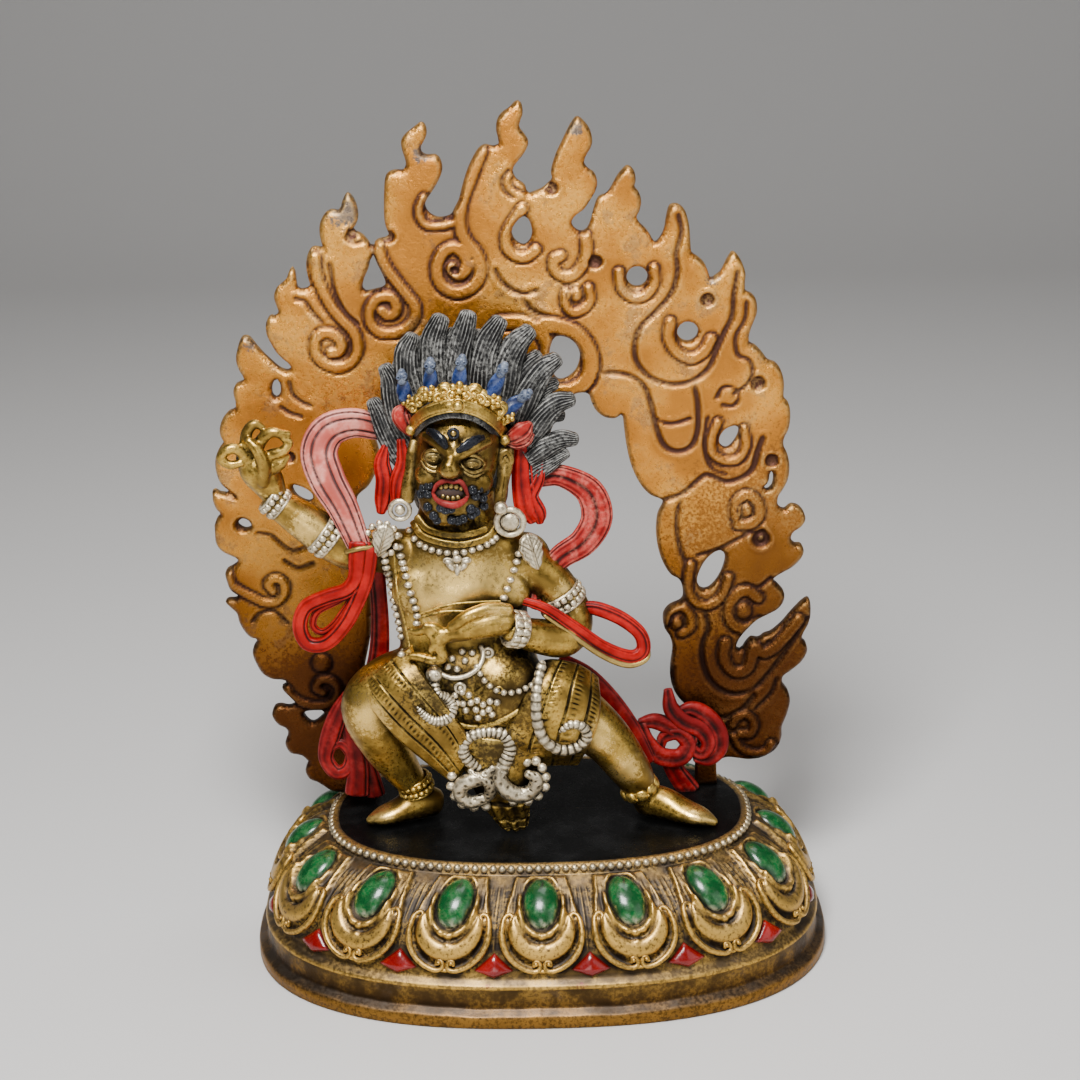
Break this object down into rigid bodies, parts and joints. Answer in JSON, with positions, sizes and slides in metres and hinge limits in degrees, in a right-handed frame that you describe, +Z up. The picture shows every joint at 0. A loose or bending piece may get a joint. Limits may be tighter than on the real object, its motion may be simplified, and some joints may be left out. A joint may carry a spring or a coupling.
{
  "type": "vajrapani statue",
  "caption": "Small painted cast-brass figure of wrathful Vajrapani striding on an oval lotus plinth before a pierced flame aureole",
  "frame": {"origin": "middle of the flat underside of the plinth", "axes": "+X the viewer's right, +Y towards the back, +Z up"},
  "size_m": [0.1891, 0.128, 0.2619],
  "materials": {
    "plinth_brass": "aged dull gold with dark patina in the grooves, green jewels, red lozenges and a dusty black platform",
    "figure_brass": "aged yellow gold with brown patina, silvered beads, black hair and a painted red scarf",
    "aureole_copper": "orange copper gold with brown patina in the grooves and worn grey tips"
  },
  "bodies": {
    "root": {"lotus_plinth": "plinth_brass", "figure": "figure_brass", "flame_aureole": "aureole_copper"}
  },
  "joints": []
}
